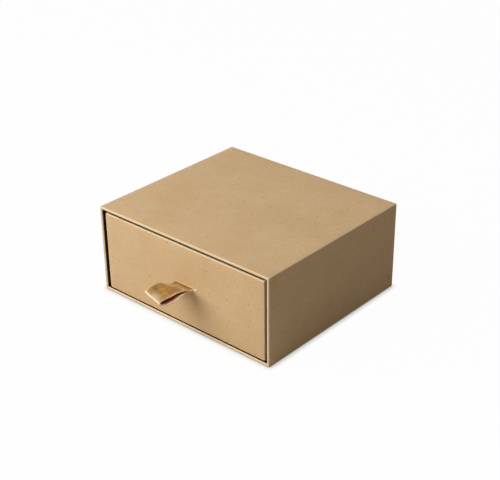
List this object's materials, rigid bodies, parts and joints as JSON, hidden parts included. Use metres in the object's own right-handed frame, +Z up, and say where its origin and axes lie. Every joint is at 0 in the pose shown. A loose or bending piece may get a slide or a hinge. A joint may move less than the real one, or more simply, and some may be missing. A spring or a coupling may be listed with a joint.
{
  "type": "sliding drawer gift box",
  "caption": "Small rigid gift box: a paper-wrapped sleeve closed at the back, with a drawer that slides out of the front on a ribbon loop pull.",
  "frame": {"origin": "middle of the sleeve's base, on the surface it stands on", "axes": "+Z up, the drawer opens towards -Y, +X to the right seen from the front"},
  "size_m": [0.105, 0.1134, 0.045],
  "materials": {
    "kraft_paper": "uncoated kraft paper, matt with faint fibres",
    "black_paper": "matt black lining paper",
    "greyboard": "bare greyboard",
    "stay_tape": "gummed paper tape",
    "satin_ribbon": "gold satin"
  },
  "bodies": {
    "sleeve": {"sleeve_top_board": "greyboard", "sleeve_bottom_board": "greyboard", "sleeve_left_board": "greyboard", "sleeve_right_board": "greyboard", "sleeve_back_board": "greyboard", "sleeve_edge_stays": "stay_tape", "sleeve_liner": "black_paper", "sleeve_back_liner": "black_paper", "sleeve_wrap": "kraft_paper", "sleeve_back_sheet": "kraft_paper", "sleeve_base_sheet": "kraft_paper"},
    "drawer": {"drawer_base_board": "greyboard", "drawer_front_board": "greyboard", "drawer_back_board": "greyboard", "drawer_left_board": "greyboard", "drawer_right_board": "greyboard", "drawer_corner_stays": "stay_tape", "drawer_wrap": "kraft_paper", "drawer_floor_sheet": "kraft_paper", "drawer_base_sheet": "kraft_paper", "ribbon_tails": "satin_ribbon", "ribbon_patch": "kraft_paper"},
    "pull": {"ribbon_pull": "satin_ribbon"}
  },
  "joints": [
    {"name": "drawer_slide", "type": "slide", "parent": "sleeve", "child": "drawer", "axis": [0, -1, 0], "range_m": [0, 0.075]},
    {"name": "pull_swing", "type": "hinge", "parent": "drawer", "child": "pull", "pos_m": [0.0012, -0.04665, 0.02198], "axis": [1, 0, 0], "range_deg": [-65, 70], "stiffness_Nm_per_rad": 0.0003}
  ]
}
